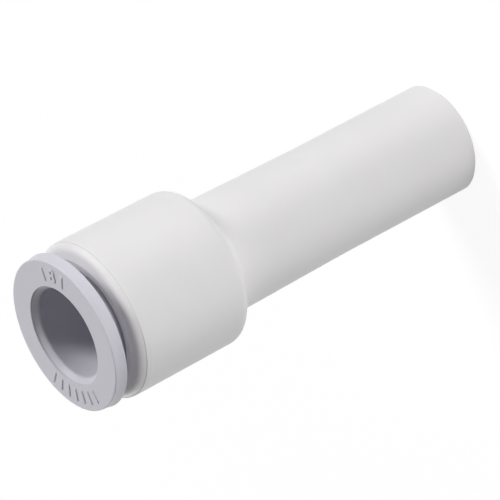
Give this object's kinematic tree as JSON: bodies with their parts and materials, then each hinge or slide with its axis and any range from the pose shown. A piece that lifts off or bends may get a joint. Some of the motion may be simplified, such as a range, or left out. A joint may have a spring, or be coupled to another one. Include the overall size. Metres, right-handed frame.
{
  "type": "push-in fitting",
  "caption": "Straight push-in tube fitting: a barrel with a round release button at one end and a smooth plug-in stem at the other.",
  "frame": {"origin": "centre of the stem's end face, on which the fitting stands", "axes": "+Z along the bore from the stem's end towards the release button; X and Y lie anywhere across it, because the outside is round"},
  "size_m": [0.0144, 0.0144, 0.0416],
  "materials": {
    "body_plastic": "satin moulded white plastic",
    "button_plastic": "satin moulded cool light grey plastic",
    "guide_plastic": "satin moulded light grey plastic",
    "collet_plastic": "natural acetal plastic",
    "ring_steel": "thin stamped stainless steel",
    "seal_rubber": "black moulded rubber"
  },
  "bodies": {
    "fitting": {"body": "body_plastic", "guide": "guide_plastic", "seal": "seal_rubber"},
    "grip": {"collet": "collet_plastic", "gripping_ring": "ring_steel"},
    "button": {"release_button": "button_plastic"}
  },
  "joints": [
    {"name": "grip_swivel", "type": "hinge", "parent": "fitting", "child": "grip", "pos_m": [0, 0, 0.034], "axis": [0, 0, 1], "continuous": true},
    {"name": "button_press", "type": "slide", "parent": "grip", "child": "button", "axis": [0, 0, -1], "range_m": [0, 0.001], "stiffness_N_per_m": 60, "springref_m": -0.001, "deforming": ["gripping_ring"]}
  ]
}
